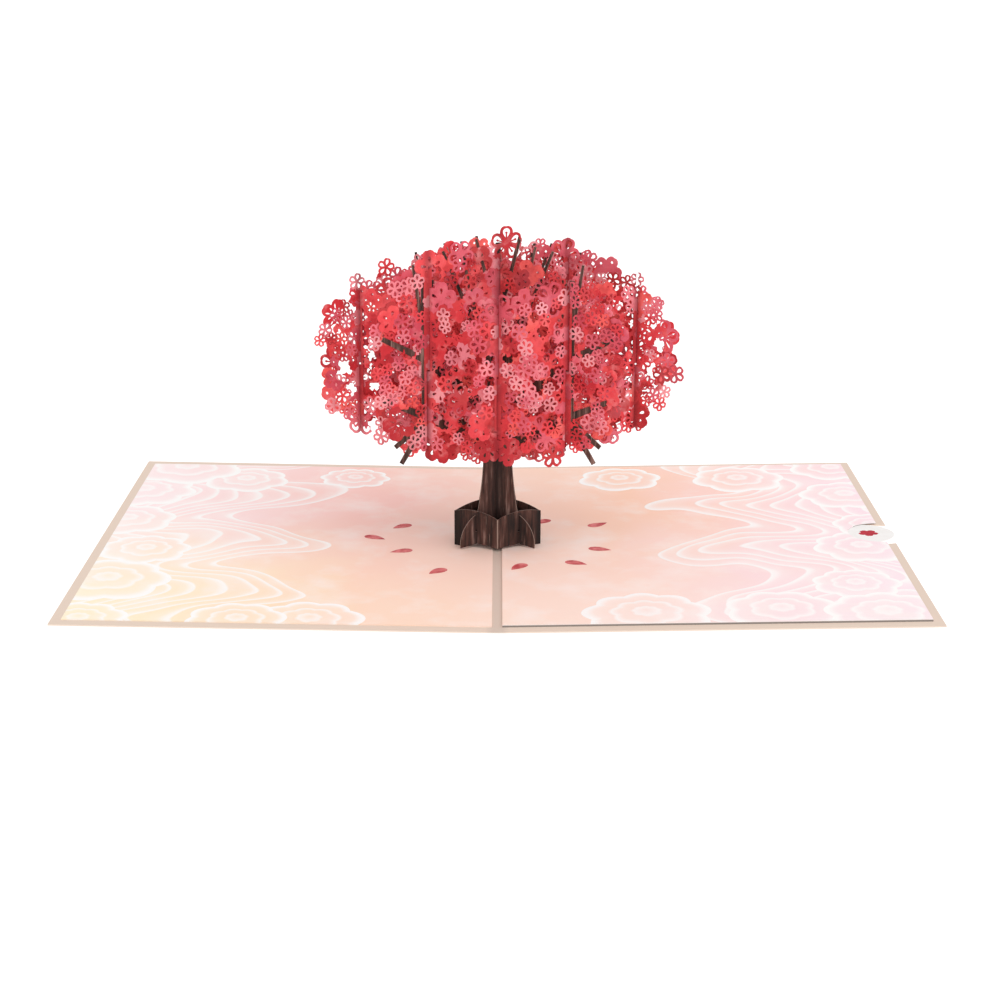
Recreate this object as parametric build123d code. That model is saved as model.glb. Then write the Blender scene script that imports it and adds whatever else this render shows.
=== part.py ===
from build123d import *
import os
from math import asin, atan2, cos, hypot, pi, sin, tan
from random import Random

# An open greeting card, 127 by 178 mm when shut, with a blossom tree of slotted paper slices over its fold.
# X runs along the open card, Y away from the reader, Z up. The origin is under the middle of the fold.

# Cover: one folded sheet, flat at the spine, with both leaves rising a little
leaf_width = 127.0
card_depth = 178.0
cover_thickness = 0.4
spine_width = 3.0
leaf_rise = 2.1

# Sheets inside the cover
liner_thickness = 0.25
side_margin = 3.0
end_margin = 4.0
flap_width = 8.0
pocket_slack = 0.15
notch_radius = 10.5
notch_inset = 3.3

# Notecard in the pocket
note_thickness = 0.25
note_lift = 0.07
note_gap = 0.6
note_inset = 8.5
tab_radius = 9.6

# Tree: three slices each way, crossing on a grid of rhombs
paper = 0.3
tree_y = -7.0
cross_x = 21.5
cross_y = 10.1
slot_clearance = 0.1
slot_meet = 60.0
lap_gap = 0.3

# Trunk slices: outline from the root's foot up to the crotch, half of it
foot_z = 1.3
foot_reach = 13.0
fin_lift = 0.9
fin_bulge_reach = 11.4
fin_bulge_z = 8.0
fin_top_z = 11.8
collar_reach = 7.0
collar_z = 12.4
waist_reach = 6.1
waist_z = 17.2
crotch_reach = 5.0
crotch_z = 30.0
leader_top = 98.0
leader_width = 1.6

# Branches of half a trunk slice: heights on the trunk, forks, and tips as reach and height
branch_width = 2.4
twig_width = 1.5
spray_width = 0.8
low_limb_z = 32.0
high_limb_z = 42.0
crown_limb_z = 52.0
spire_z = 74.0
low_fork_z = 45.0
high_fork_z = 63.0
crown_fork = (5.0, 66.0)
low_tip = (38.7, 52.0)
high_tip = (38.7, 71.0)
droop_tips = [(34.9, 36.7), (32.9, 31.3)]
crown_tips = [(18.5, 96.5), (12.6, 97.5)]
side_tip = (28.5, 93.0)
spire_tip = (7.4, 99.5)
bar_width = 4.2
bar_bottom = 39.0
bar_top = 88.0

# Blossom: five petals, and the rounded outline that the flowers are strung along
petals = 5
petal_steps = 3
petal_valley = 0.64
petal_fullness = 0.6
flower_small = 4.3
flower_large = 5.9
rim_wander = 1.6
window_inner = 0.3
window_outer = 0.76
window_half_angle = 0.32
pierced_every = 14

# Outer slices, measured from their middle crossing
outer_flowers = 20
outer_half_length = 34.0
outer_middle_z = 58.0
front_above = 26.0
back_above = 31.0
outer_below = 20.5
outer_round_above = 0.72
outer_round_below = 0.95

# Crown sheets on the trunk slices
crown_flowers = 25
crown_half_length = 38.5
crown_middle_z = 62.0
crown_above = 32.5
crown_step = 5.5
crown_below = 28.5
crown_round_above = 0.7
crown_round_below = 0.75
crest_reach = 2.7
crest_z = 97.7
crest_radius = 5.5

# Root ring: folded strip on the same rhomb as the slices
ring_half_width = 13.4
ring_end_z = 12.3
ring_front_mid_z = 12.95
ring_front_z = 10.9
ring_back_mid_z = 14.6
ring_back_z = 14.9
ring_arch = 0.8
ring_slot_top = 6.5
tongue_length = 2.6
slit_clearance = 0.12

spine_half = spine_width / 2
leaf_length = leaf_width - spine_half
leaf_angle = asin(leaf_rise / leaf_length)
panel_width = leaf_length - side_margin
panel_depth = card_depth - 2 * end_margin
pocket_height = liner_thickness + pocket_slack
right_leaf = Plane(
    origin=(spine_half, 0, 0),
    x_dir=(cos(leaf_angle), 0, sin(leaf_angle)),
    z_dir=(-sin(leaf_angle), 0, cos(leaf_angle)),
)

slice_angle = atan2(cross_y, cross_x)
slice_step = hypot(cross_x, cross_y)
cross_angle = 2 * slice_angle
stack = 3 * paper
ring_half_depth = ring_half_width * cross_y / cross_x
ring_crossing = hypot(ring_half_width, ring_half_depth) / 2
far_above = 2 * (crown_middle_z + crown_above)


def slab(x0, x1, depth, z0, z1):
    # Flat plate from x0 to x1, centred across the card
    return Pos((x0 + x1) / 2, 0, (z0 + z1) / 2) * Box(x1 - x0, depth, z1 - z0)


def thumb_notch():
    centre = leaf_length - notch_inset
    return Pos(centre, 0, 0) * Cylinder(notch_radius, card_depth)


def slot_width(through, own):
    # Room that a sheet of thickness own needs for one of thickness through, at the angle of the slices
    return through / sin(cross_angle) + own / tan(cross_angle) + slot_clearance


def slice_plane(heading, x, y):
    # Upright plane of a slice: its first axis follows the slice, its second points up
    angle = heading * slice_angle
    return Plane(origin=(x, tree_y + y, 0), x_dir=(cos(angle), sin(angle), 0), z_dir=(sin(angle), -cos(angle), 0))


def slot(u, width, z0, z1):
    return Pos(u, (z0 + z1) / 2) * Rectangle(width, z1 - z0)


def half_lap(heading, u, width):
    # Slices of one heading are slotted from below, those of the other from above
    if heading > 0:
        return slot(u, width, 0, slot_meet + lap_gap)
    return slot(u, width, slot_meet - lap_gap, far_above)


def sheet(plane, outline, start, thickness):
    return extrude(plane.offset(start) * outline, thickness)


# Cover and the sheets on it


def make_cover():
    lean = Vector(-sin(leaf_angle), cos(leaf_angle))
    edge = Vector(spine_half + leaf_length * cos(leaf_angle), leaf_rise)
    fold = Vector(spine_half - cover_thickness * tan(leaf_angle / 2), cover_thickness)
    half = [(spine_half, 0), (edge.X, edge.Y), tuple(edge + lean * cover_thickness)[:2], (fold.X, fold.Y)]
    profile = half + [(-x, z) for x, z in reversed(half)]
    folded = extrude(Plane.XZ * make_face(Polyline(*profile, close=True)), card_depth / 2, both=True)
    return folded - right_leaf * thumb_notch()


def tongue_slits():
    # Openings for the tongues of the root ring, a little wider than the strip
    ends = rhombic_strip(paper + 2 * slit_clearance, 0, ring_end_z)
    middle = Pos(0, tree_y, 0) * Box(2 * (ring_half_width - tongue_length - slit_clearance), card_depth, far_above)
    return ends - middle


def make_left_liner():
    plate = slab(0, panel_width, panel_depth, cover_thickness, cover_thickness + liner_thickness)
    return mirror(right_leaf * plate, about=Plane.YZ) - tongue_slits()


def make_pocket_panel():
    low = cover_thickness
    top = low + pocket_height + liner_thickness
    plate = slab(0, panel_width, panel_depth, low + pocket_height, top)
    rim = slab(0, panel_width, panel_depth, low, top)
    room = slab(liner_thickness, panel_width, panel_depth - 2 * liner_thickness, low, top)
    flaps = slab(0, panel_width, panel_depth, low, low + liner_thickness)
    between = slab(flap_width, panel_width, panel_depth - 2 * flap_width, low, top)
    panel = plate + (rim - room) + (flaps - between)
    return right_leaf * (panel - thumb_notch()) - tongue_slits()


def make_notecard():
    low = cover_thickness + note_lift
    start = flap_width + note_gap
    end = leaf_length - note_inset
    depth = panel_depth - 2 * (flap_width + note_gap)
    tab = Pos(end, 0, low + note_thickness / 2) * Cylinder(tab_radius, note_thickness)
    return right_leaf * (slab(start, end, depth, low, low + note_thickness) + tab)


# Root ring


def rhombic_strip(thickness, z0, z1):
    # Closed strip standing on the rhomb, with its middle line on the rhomb's sides
    side = hypot(ring_half_width, ring_half_depth)

    def rhomb(offset):
        wide = ring_half_width + offset * side / ring_half_depth
        deep = ring_half_depth + offset * side / ring_half_width
        return Polygon((wide, 0), (0, deep), (-wide, 0), (0, -deep), align=None)

    wall = rhomb(thickness / 2) - rhomb(-thickness / 2)
    return extrude(Pos(0, tree_y, z0) * wall, z1 - z0)


def arched_half(end_z, mid_z, point_z, direction):
    # Everything in front of the tree's axis, or behind it, between the strip's two curved edges
    reach = 2 * ring_half_width
    mid = ring_half_width / 2
    outline = Polyline((reach, foot_z), (reach, end_z), (ring_half_width, end_z))
    outline += ThreePointArc((ring_half_width, end_z), (mid, mid_z), (0, point_z))
    outline += ThreePointArc((0, point_z), (-mid, mid_z), (-ring_half_width, end_z))
    outline += Polyline((-ring_half_width, end_z), (-reach, end_z), (-reach, foot_z), (-ring_half_width, foot_z))
    outline += ThreePointArc((-ring_half_width, foot_z), (-mid, foot_z + ring_arch), (0, foot_z))
    outline += ThreePointArc((0, foot_z), (mid, foot_z + ring_arch), (ring_half_width, foot_z))
    outline += Line((ring_half_width, foot_z), (reach, foot_z))
    face = Plane((0, tree_y, 0), x_dir=(1, 0, 0), z_dir=(0, -1, 0)) * make_face(outline)
    return extrude(face, direction * 2 * ring_half_depth)


def make_root_ring():
    front = arched_half(ring_end_z, ring_front_mid_z, ring_front_z, 1)
    back = arched_half(ring_end_z, ring_back_mid_z, ring_back_z, -1)
    strip = rhombic_strip(paper, 0, far_above)
    ring = strip & (front + back)
    past_fold = (ring_half_width + spine_half) * tan(leaf_angle)
    for side, lift in ((-1, 0), (1, pocket_height)):
        seat = cover_thickness + lift + past_fold
        tongue = rhombic_strip(paper, seat, foot_z + ring_arch)
        middle = side * (ring_half_width - tongue_length)
        kept = Pos(middle + side * card_depth / 2, tree_y, 0) * Box(card_depth, card_depth, far_above)
        ring += tongue & kept
    for heading in (-1, 1):
        gap = slot(0, 4 * ring_crossing, 0, ring_slot_top + lap_gap)
        ring -= extrude(slice_plane(heading, 0, 0) * gap, slot_width(paper, paper) / 2, both=True)
    return ring


# Trunk slices


def strip(start, end, width0, width1):
    # Straight branch with square ends, tapering from width0 to width1
    length = hypot(end[0] - start[0], end[1] - start[1])
    across = ((start[1] - end[1]) / length, (end[0] - start[0]) / length)

    def pair(point, width):
        return [(point[0] + k * across[0] * width / 2, point[1] + k * across[1] * width / 2) for k in (-1, 1)]

    low, high = pair(start, width0), pair(end, width1)
    return make_face(Polyline(low[0], high[0], high[1], low[1], close=True))


def trunk_half():
    outline = Line((0, foot_z + fin_lift), (ring_crossing, foot_z + fin_lift))
    outline += Line((ring_crossing, foot_z + fin_lift), (foot_reach, foot_z))
    outline += ThreePointArc((foot_reach, foot_z), (fin_bulge_reach, fin_bulge_z), (ring_crossing, fin_top_z))
    outline += Line((ring_crossing, fin_top_z), (collar_reach, collar_z))
    outline += Spline((collar_reach, collar_z), (waist_reach, waist_z), (crotch_reach, crotch_z))
    outline += Polyline((crotch_reach, crotch_z), (leader_width / 2, leader_top), (0, leader_top))
    outline += Line((0, leader_top), (0, foot_z + fin_lift))
    return make_face(outline)


def branch_half():
    # Limbs from the trunk to their forks, twigs and thin sprays to their tips, and the bar beside the crossing
    low_fork = (slice_step, low_fork_z)
    high_fork = (slice_step, high_fork_z)
    limbs = [((0, low_limb_z), low_fork), ((0, high_limb_z), high_fork), ((0, crown_limb_z), crown_fork)]
    twigs = [(low_fork, tip) for tip in [low_tip, *droop_tips]]
    twigs.append((high_fork, high_tip))
    sprays = [(high_fork, side_tip), ((0, spire_z), spire_tip)]
    sprays += [(crown_fork, tip) for tip in crown_tips]
    wood = [strip(start, end, 2 * branch_width, branch_width) for start, end in limbs]
    wood += [strip(start, end, branch_width, twig_width) for start, end in twigs]
    wood += [strip(start, end, twig_width, spray_width) for start, end in sprays]
    return wood + [slot(slice_step, bar_width, bar_bottom, bar_top)]


def trunk_slots(heading):
    cuts = [half_lap(heading, 0, slot_width(stack, stack))]
    cuts += [half_lap(heading, k * slice_step, slot_width(paper, stack)) for k in (-1, 1)]
    width = slot_width(paper, paper)
    cuts += [slot(k * ring_crossing, width, ring_slot_top - lap_gap, collar_z) for k in (-1, 1)]
    return cuts


def make_trunk_slice(heading):
    half = trunk_half() + branch_half()
    outline = half + mirror(half, about=Plane.YZ) - trunk_slots(heading)
    return sheet(slice_plane(heading, 0, 0), outline, -paper / 2, paper)


# Blossom sheets


def flower(x, z, radius, turn):
    count = petals * petal_steps
    points = []
    for k in range(count):
        swell = sin(pi * (k % petal_steps) / petal_steps) ** petal_fullness
        reach = radius * (petal_valley + (1 - petal_valley) * swell)
        angle = turn + 2 * pi * k / count
        points.append((x + reach * cos(angle), z + reach * sin(angle)))
    return make_face(Polyline(*points, close=True))


def petal_windows(x, z, radius, turn):
    # One kite-shaped opening in each petal
    windows = []
    for k in range(petals):
        angle = turn + 2 * pi * (k + 0.5) / petals
        middle = (window_inner + 2 * window_outer) / 3
        polar = [
            (window_inner, angle),
            (middle, angle - window_half_angle),
            (window_outer, angle),
            (middle, angle + window_half_angle),
        ]
        points = [(x + radius * r * cos(a), z + radius * r * sin(a)) for r, a in polar]
        windows.append(make_face(Polyline(*points, close=True)))
    return windows


def rim(count, half_length, middle_z, above, below, round_above, round_below):
    # Places at even steps along a rounded outline, whose upper and lower halves bulge differently
    fine = 720
    path = []
    for k in range(fine + 1):
        angle = 2 * pi * k / fine
        roundness = round_above if sin(angle) > 0 else round_below
        along = abs(cos(angle)) ** roundness * (1 if cos(angle) > 0 else -1)
        up = abs(sin(angle)) ** roundness * (above if sin(angle) > 0 else -below)
        path.append((half_length * along, middle_z + up))
    lengths = [0.0]
    for a, b in zip(path, path[1:]):
        lengths.append(lengths[-1] + hypot(b[0] - a[0], b[1] - a[1]))
    places = []
    for k in range(count):
        at = next(n for n, run in enumerate(lengths) if run >= lengths[-1] * k / count)
        places.append(path[at])
    return places


def blossom_outline(seed, side, shape, slots, crest):
    # Flowers strung along the rim, joined by the sheet between them
    chance = Random(seed)
    places = []
    for x, z in rim(*shape):
        wander = (chance.uniform(-rim_wander, rim_wander), chance.uniform(-rim_wander, rim_wander))
        places.append((side * x + wander[0], z + wander[1]))
    core = make_face(Polyline(*places, close=True))
    flowers = []
    windows = []
    for k, (x, z) in enumerate(places):
        spec = (x, z, chance.uniform(flower_small, flower_large), chance.uniform(0, 2 * pi))
        flowers.append(flower(*spec))
        if k % pierced_every == 0:
            windows += petal_windows(*spec)
    for spec in crest:
        flowers.append(flower(*spec))
        windows += petal_windows(*spec)
    outline = core + flowers - (slots + windows)
    return outline.faces().sort_by(SortBy.AREA)[-1]


def make_blossom_slice(heading, offset, seed):
    # One of the four outer slices, all blossom
    x = -heading * offset * cross_x
    y = offset * cross_y
    side = 1 if x > 0 else -1
    slots = [half_lap(heading, 0, slot_width(stack, paper))]
    slots += [half_lap(heading, k * slice_step, slot_width(paper, paper)) for k in (-1, 1)]
    above = back_above if offset > 0 else front_above
    bulge = (outer_round_above, outer_round_below)
    shape = (outer_flowers, outer_half_length, outer_middle_z, above, outer_below, *bulge)
    outline = blossom_outline(seed, side, shape, slots, [])
    return sheet(slice_plane(heading, x, y), outline, -paper / 2, paper)


def make_crown_sheet(heading, face, seed):
    # Blossom sheet glued on one face of a trunk slice; one of them carries the flower at the very top
    above = crown_above if heading > 0 else crown_above - crown_step
    bulge = (crown_round_above, crown_round_below)
    shape = (crown_flowers, crown_half_length, crown_middle_z, above, crown_below, *bulge)
    one_up = pi / 2 - pi / petals
    topmost = heading > 0 and face == "front"
    crest = [(crest_reach, crest_z, crest_radius, one_up)] if topmost else []
    outline = blossom_outline(seed, 1, shape, trunk_slots(heading), crest)
    start = paper / 2 if face == "front" else -paper / 2 - paper
    return sheet(slice_plane(heading, 0, 0), outline, start, paper)


parts = {
    "cover": make_cover(),
    "left_liner": make_left_liner(),
    "pocket_panel": make_pocket_panel(),
    "notecard": make_notecard(),
    "root_ring": make_root_ring(),
    "trunk_slice_a": make_trunk_slice(1),
    "trunk_slice_b": make_trunk_slice(-1),
    "crown_sheet_a_front": make_crown_sheet(1, "front", 11),
    "crown_sheet_a_back": make_crown_sheet(1, "back", 12),
    "crown_sheet_b_front": make_crown_sheet(-1, "front", 13),
    "crown_sheet_b_back": make_crown_sheet(-1, "back", 14),
    "blossom_slice_front_right": make_blossom_slice(1, -1, 21),
    "blossom_slice_back_left": make_blossom_slice(1, 1, 22),
    "blossom_slice_front_left": make_blossom_slice(-1, -1, 23),
    "blossom_slice_back_right": make_blossom_slice(-1, 1, 24),
}

os.makedirs("parts", exist_ok=True)
for name, shape in parts.items():
    export_step(shape, f"parts/{name}.step")
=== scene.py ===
from math import asin, atan2, cos, exp, hypot, pi, radians, sin, sqrt, tan
from random import Random
import bmesh
import bpy
from mathutils import Matrix, Vector
from mathutils.geometry import delaunay_2d_cdt


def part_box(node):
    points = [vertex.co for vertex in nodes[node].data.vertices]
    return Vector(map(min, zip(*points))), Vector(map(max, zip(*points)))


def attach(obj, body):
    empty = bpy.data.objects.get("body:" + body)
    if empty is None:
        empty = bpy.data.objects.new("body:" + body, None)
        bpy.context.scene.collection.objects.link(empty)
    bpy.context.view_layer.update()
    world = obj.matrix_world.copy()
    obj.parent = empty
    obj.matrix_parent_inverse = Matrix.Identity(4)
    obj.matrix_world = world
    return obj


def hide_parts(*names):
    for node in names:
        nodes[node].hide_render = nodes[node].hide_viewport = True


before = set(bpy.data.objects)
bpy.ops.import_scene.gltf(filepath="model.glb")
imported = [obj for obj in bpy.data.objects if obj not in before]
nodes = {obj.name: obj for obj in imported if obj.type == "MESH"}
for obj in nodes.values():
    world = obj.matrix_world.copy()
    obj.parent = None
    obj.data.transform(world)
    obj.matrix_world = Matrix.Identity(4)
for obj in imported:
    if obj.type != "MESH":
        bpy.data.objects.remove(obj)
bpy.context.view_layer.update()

mm = 0.001
# camera where the photograph was taken from: place, lens and sensor in mm, turns in degrees, near end in m
cameraSpec = {"place": (0.51, -648.65, 200.16), "pitch": 16.041, "yaw": 0.023, "roll": 0.116, "lens": 75.56,
              "sensor": 36.0, "near": 0.01}
scene = bpy.context.scene
print("frame loaded:", len(nodes), "pieces")


def linear(hexColour):
    # sRGB hex to the linear values that the shaders use
    parts = [int(hexColour[k:k + 2], 16) / 255 for k in (1, 3, 5)]
    return tuple(c / 12.92 if c <= 0.04045 else ((c + 0.055) / 1.055) ** 2.4 for c in parts) + (1.0,)


def add(tree, kind, values=None, links=None, stops=None, **settings):
    # one node with its settings, its socket values, the sockets that feed it and, on a ramp, its stops
    node = tree.nodes.new("ShaderNode" + kind)
    for key, value in settings.items():
        setattr(node, key, value)
    for socket, value in (values or {}).items():
        node.inputs[socket].default_value = value
    for socket, source in (links or {}).items():
        tree.links.new(source, node.inputs[socket])
    if stops:
        elements = node.color_ramp.elements
        while len(elements) < len(stops):
            elements.new(0.5)
        for element, (place, colour) in zip(elements, stops):
            element.position = place
            element.color = colour
    return node


# every sheet is uncoated or printed paper: the refraction of cellulose and little gloss
paperFinish = {"ior": 1.5, "specular": 0.35}


def startMaterial(name, roughness):
    material = bpy.data.materials.new(name)
    material.use_nodes = True
    tree = material.node_tree
    shader = tree.nodes["Principled BSDF"]
    shader.inputs["Roughness"].default_value = roughness
    shader.inputs["IOR"].default_value = paperFinish["ior"]
    shader.inputs["Specular IOR Level"].default_value = paperFinish["specular"]
    return material, tree, shader


def grey(value):
    return (value, value, value, 1.0)


def dress(node, material):
    nodes[node].data.materials.clear()
    nodes[node].data.materials.append(material)


# paper grain shared by every sheet, in mm: single fibres are too fine to show, so clumps of them are drawn
grain = {"fibre": 0.35, "bump": 0.02, "strength": 0.25}


def paperGrain(tree, shader):
    place = add(tree, "TexCoord").outputs["Object"]
    fibre = add(tree, "TexNoise", {"Scale": 1 / (grain["fibre"] * mm), "Detail": 3.0}, {"Vector": place})
    bump = add(tree, "Bump", {"Strength": grain["strength"], "Distance": grain["bump"] * mm},
               {"Height": fibre.outputs["Fac"]})
    tree.links.new(bump.outputs["Normal"], shader.inputs["Normal"])
    return place


# tree of slices, the same driving sizes as the frame, in mm
sliceTree = {"y": -7.0, "crossX": 21.5, "crossY": 10.1, "paper": 0.3, "slotClearance": 0.1,
             "slotMeet": 60.0, "lapGap": 0.3, "slotEnd": 200.0}
sliceAngle = atan2(sliceTree["crossY"], sliceTree["crossX"])
sliceStep = hypot(sliceTree["crossX"], sliceTree["crossY"])
crossAngle = 2 * sliceAngle
stack = 3 * sliceTree["paper"]  # a trunk slice with a blossom sheet on each face


def slotWidth(through, own):
    return through / sin(crossAngle) + own / tan(crossAngle) + sliceTree["slotClearance"]


def slicePlace(heading, offset):
    # matrix from slice millimetres (along, up, towards the reader) to the frame
    angle = heading * sliceAngle
    along = Vector((cos(angle), sin(angle), 0))
    facing = Vector((sin(angle), -cos(angle), 0))
    centre = Vector((-heading * offset * sliceTree["crossX"],
                     sliceTree["y"] + offset * sliceTree["crossY"], 0))
    axes = Matrix((along, Vector((0, 0, 1)), facing)).transposed().to_4x4()
    return Matrix.Scale(mm, 4) @ Matrix.Translation(centre) @ axes


# blossom lace in mm: flowers strung along the rim as in the frame, more flowers inside, openings between them
lace = {"rimRadius": (4.3, 5.9), "wander": 1.6, "innerSeed": 100, "jitter": 1.8, "rowShare": 0.87,
        "largeGrid": 7.0, "largeRadius": (3.2, 4.9),
        "smallGrid": 6.2, "smallRadius": (2.0, 2.8), "smallShare": 0.6,
        "clusterReach": (0.44, 0.52), "clusterRadius": (0.48, 0.56),
        "gapGrid": 5.0, "gapRadius": (1.6, 2.9), "gapGrowth": 0.9,
        "outerGaps": 0.44, "crownGaps": 0.64, "rimGaps": 0.45, "glimpse": 2.1,
        "band": 0.7, "snap": 1e-5, "flatness": 1.0}
# a flower's outline as shares of its radius: how far out the lobes sit, their own radius and the dent at each
# tip, which spreads this many degrees either way
petalForm = {"reach": 0.6, "radius": 0.4, "dent": 0.06, "dentSpread": 7.0}


def petalled(x, z, radius, turn, steps):
    # outline of five round lobes, each with a small dent at its tip
    points = []
    half = pi / 5
    for k in range(5 * steps):
        offAxis = half * (2 * (k % steps) / steps - 1)
        reach = petalForm["reach"] * cos(offAxis)
        reach += sqrt(max(0, petalForm["radius"] ** 2 - (petalForm["reach"] * sin(offAxis)) ** 2))
        reach *= 1 - petalForm["dent"] * exp(-(offAxis / radians(petalForm["dentSpread"])) ** 2)
        angle = turn + 2 * pi * (k // steps + (k % steps) / steps) / 5
        points.append((x + radius * reach * cos(angle), z + radius * reach * sin(angle)))
    return points


def disc(x, z, radius, steps=6):
    turns = [2 * pi * k / steps for k in range(steps)]
    return [(x + radius * cos(t), z + radius * sin(t)) for t in turns]


def drop(x, z, angle, inner, outer, width, steps):
    # teardrop along a petal, narrow end towards the flower's middle
    points = []
    for k in range(steps):
        t = 2 * pi * k / steps
        along = inner + (outer - inner) * (1 - cos(t)) / 2
        swell = width * sin(t) * sqrt((1 - cos(t)) / 2)
        points.append((x + along * cos(angle) - swell * sin(angle),
                       z + along * sin(angle) + swell * cos(angle)))
    return points


def bar(x, z, angle, inner, outer, width):
    ends = ((inner, -width / 2), (outer, -width / 2), (outer, width / 2), (inner, width / 2))
    return [(x + r * cos(angle) - w * sin(angle), z + r * sin(angle) + w * cos(angle)) for r, w in ends]


# points on each lobe of a flower's outline
lobePoints = {"gap": 4, "drop": 6, "open": 10, "slit": 10, "bead": 8, "dot": 8}
# openings in the petals as shares of the flower's radius: inner end, outer end, half width; then their points
petalCuts = {"drop": (0.2, 0.8, 0.24, 8), "open": (0.26, 0.84, 0.3, 12), "bead": (0.26, 0.62, 0.13, 8)}
slitForm = {"count": 10, "inner": 0.2, "outer": (0.6, 0.72), "width": 0.07, "points": 6}
stamenForm = {"inner": 0.2, "outer": 0.56, "width": 0.07, "tip": 0.58}
dotForm = {"reach": 0.62, "radius": 0.09}


def flowerParts(kind, x, z, radius, turn):
    # the flower's outline, the cuts through it, and what stands inside the cuts
    axes = [turn + 2 * pi * (k + 0.5) / 5 for k in range(5)]
    outline = petalled(x, z, radius, turn, lobePoints[kind])
    cuts = []
    stamens = []
    if kind in petalCuts:
        inner, outer, width, steps = petalCuts[kind]
        cuts = [drop(x, z, a, inner * radius, outer * radius, width * radius, steps) for a in axes]
    if kind == "open":
        inner, outer, width, tip = (stamenForm[key] * radius for key in ("inner", "outer", "width", "tip"))
        stamens = [bar(x, z, a, inner, outer, width) for a in axes]
        stamens += [disc(x + tip * cos(a), z + tip * sin(a), width) for a in axes]
    if kind == "slit":
        for k in range(slitForm["count"]):
            a = turn + 2 * pi * (k + 0.5) / slitForm["count"]
            outer = slitForm["outer"][k % 2] * radius
            cuts.append(drop(x, z, a, slitForm["inner"] * radius, outer, slitForm["width"] * radius,
                             slitForm["points"]))
    if kind == "dot":
        reach = dotForm["reach"] * radius
        cuts = [disc(x + reach * cos(a), z + reach * sin(a), dotForm["radius"] * radius) for a in axes]
    return outline, cuts, stamens


def rim(count, halfLength, middleZ, above, below, roundAbove, roundBelow):
    # places at even steps along a rounded outline
    fine = 720
    path = []
    for k in range(fine + 1):
        angle = 2 * pi * k / fine
        roundness = roundAbove if sin(angle) > 0 else roundBelow
        along = abs(cos(angle)) ** roundness * (1 if cos(angle) > 0 else -1)
        up = abs(sin(angle)) ** roundness * (above if sin(angle) > 0 else -below)
        path.append((halfLength * along, middleZ + up))
    lengths = [0.0]
    for a, b in zip(path, path[1:]):
        lengths.append(lengths[-1] + hypot(b[0] - a[0], b[1] - a[1]))
    marks = [lengths[-1] * k / count for k in range(count)]
    return [path[next(n for n, run in enumerate(lengths) if run >= mark)] for mark in marks]


def inside(x, z, polygon):
    hit = False
    for (ax, az), (bx, bz) in zip(polygon, polygon[1:] + polygon[:1]):
        if (az > z) != (bz > z) and x < (bx - ax) * (z - az) / (bz - az) + ax:
            hit = not hit
    return hit


# printed tones of the blossom, deep red to pale pink
tones = {"red": ["#a81a24", "#bf232d", "#d42c34"], "coral": ["#ee4b50", "#e24048", "#f4605a"],
         "rose": ["#c94f62", "#da6376"], "pink": ["#f0909c", "#f5aab2", "#e87a8a"]}
toneShares = {"drop": ("rose", "pink", "pink", "coral", "red"), "open": ("red", "red", "rose", "pink"),
              "slit": ("red", "red", "coral"), "dot": ("red", "coral", "coral", "rose"),
              "bead": ("red", "coral", "coral", "rose", "pink")}
# kinds of flower to choose from on the rim and inside it
rimKinds = ("open", "dot", "bead", "slit", "cluster", "cluster", "cluster", "cluster")
innerKinds = ("dot", "bead", "bead", "open", "slit", "slit", "open")


def scatter(chance, places, step):
    # jittered staggered grid inside an outline
    found = []
    row = 0
    z = min(p[1] for p in places)
    while z < max(p[1] for p in places):
        x = min(p[0] for p in places) + (step / 2 if row % 2 else 0)
        while x < max(p[0] for p in places):
            at = (x + chance.uniform(-1, 1) * lace["jitter"], z + chance.uniform(-1, 1) * lace["jitter"])
            if inside(*at, places):
                found.append(at)
            x += step
        z += step * lace["rowShare"]
        row += 1
    return found


def layFlowers(seed, side, shape, gapShare, glimpses, laidLast):
    # every flower of one sheet, lowest first: kind, place, radius, turn and tone
    chance = Random(seed)
    places = []
    for x, z in rim(*shape):
        wander = [chance.uniform(-lace["wander"], lace["wander"]) for axis in "xz"]
        places.append((side * x + wander[0], z + wander[1]))
    rimFlowers = []
    for x, z in places:
        rimFlowers.append((x, z, chance.uniform(*lace["rimRadius"]), chance.uniform(0, 2 * pi)))
    more = Random(seed + lace["innerSeed"])
    large = []
    small = []
    for x, z, radius, turn in rimFlowers:
        kind = more.choice(rimKinds)
        if kind == "cluster":
            for k in range(3):
                angle = turn + 2 * pi * k / 3
                reach = more.uniform(*lace["clusterReach"]) * radius
                small.append(("drop", x + reach * cos(angle), z + reach * sin(angle),
                              more.uniform(*lace["clusterRadius"]) * radius, more.uniform(0, 2 * pi)))
        else:
            large.append((kind, x, z, radius, turn))
    for x, z in scatter(more, places, lace["largeGrid"]):
        kind = more.choice(innerKinds)
        large.append((kind, x, z, more.uniform(*lace["largeRadius"]), more.uniform(0, 2 * pi)))
    more.shuffle(large)
    gaps = [("gap", x, z, lace["glimpse"], more.uniform(0, 2 * pi)) for x, z in glimpses]
    for x, z in scatter(more, places, lace["gapGrid"]):
        out = (x / shape[1]) ** 2
        if more.random() < gapShare + lace["rimGaps"] * out:
            radius = more.uniform(*lace["gapRadius"]) + lace["gapGrowth"] * out
            gaps.append(("gap", x, z, radius, more.uniform(0, 2 * pi)))
    for x, z in scatter(more, places, lace["smallGrid"]):
        if more.random() < lace["smallShare"]:
            small.append(("drop", x, z, more.uniform(*lace["smallRadius"]), more.uniform(0, 2 * pi)))
    more.shuffle(small)
    small += laidLast
    toned = [("base", places, 0, 0, 0, linear(tones["red"][2]))]
    for spec in large + gaps + small:
        shares = ("red",) if spec in laidLast else toneShares.get(spec[0], ("red",))
        tone = more.choice(tones[more.choice(shares)])
        toned.append(spec + (linear(tone),))
    return toned


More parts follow.
